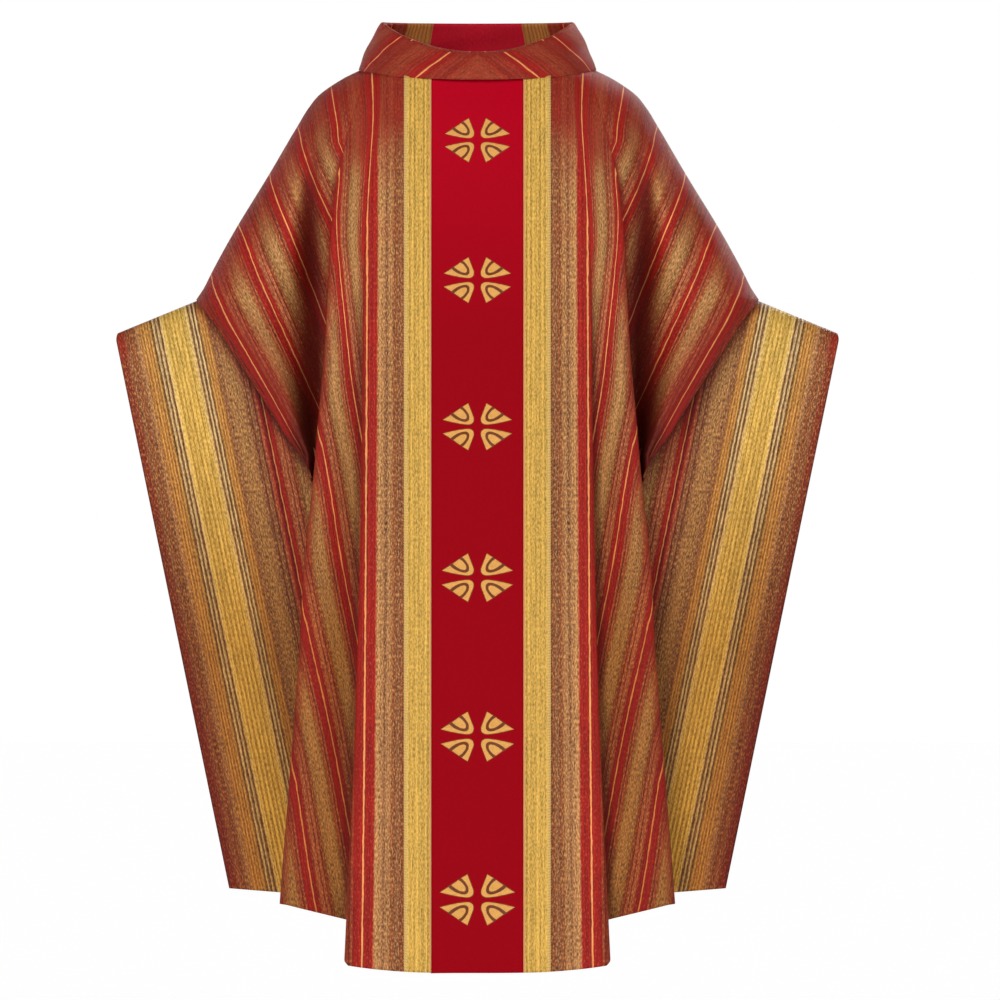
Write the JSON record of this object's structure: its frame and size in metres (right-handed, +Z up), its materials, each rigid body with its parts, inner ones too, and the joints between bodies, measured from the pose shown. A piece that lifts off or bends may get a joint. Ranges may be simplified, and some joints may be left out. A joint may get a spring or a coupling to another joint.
{
  "type": "chasuble",
  "caption": "Full gothic chasuble in striped red and gold cloth, with a roll collar, a red satin orphrey between gold bands, and embroidered crosses, hanging as worn.",
  "frame": {"origin": "centre of the neck opening, level with the seam that joins the collar to the shoulders", "axes": "+Z up, -Y towards the front of the wearer, +X to the wearer's left"},
  "size_m": [1.014, 0.3225, 1.324],
  "materials": {
    "striped_lurex": "woven stripes of red, rust, olive and gold with metallic thread, soft sheen",
    "gold_band": "ribbed metallic gold weave with a beaded edge",
    "red_satin": "smooth deep red satin",
    "gold_thread": "dense gold satin-stitch embroidery",
    "lining": "plain dark red cotton tape",
    "interlining": "plain off-white woven stiffening"
  },
  "bodies": {
    "root": {"front_cloth_left": "striped_lurex", "front_galloon_left": "gold_band", "front_sleeve_facing_left": "lining", "front_cloth_right": "striped_lurex", "front_galloon_right": "gold_band", "front_sleeve_facing_right": "lining", "front_orphrey": "red_satin", "front_hem_facing": "lining", "front_cross_1": "gold_thread", "front_cross_2": "gold_thread", "front_cross_3": "gold_thread", "front_cross_4": "gold_thread", "front_cross_5": "gold_thread", "front_cross_6": "gold_thread", "back_cloth_left": "striped_lurex", "back_galloon_left": "gold_band", "back_sleeve_facing_left": "lining", "back_cloth_right": "striped_lurex", "back_galloon_right": "gold_band", "back_sleeve_facing_right": "lining", "back_orphrey": "red_satin", "back_hem_facing": "lining", "back_cross_1": "gold_thread", "back_cross_2": "gold_thread", "back_cross_3": "gold_thread", "back_cross_4": "gold_thread", "back_cross_5": "gold_thread", "back_cross_6": "gold_thread", "collar_outer": "striped_lurex", "collar_lining": "striped_lurex", "collar_stiffening": "interlining", "neck_seam_tape": "lining", "shoulder_tape_left": "lining", "shoulder_tape_right": "lining"}
  },
  "joints": []
}
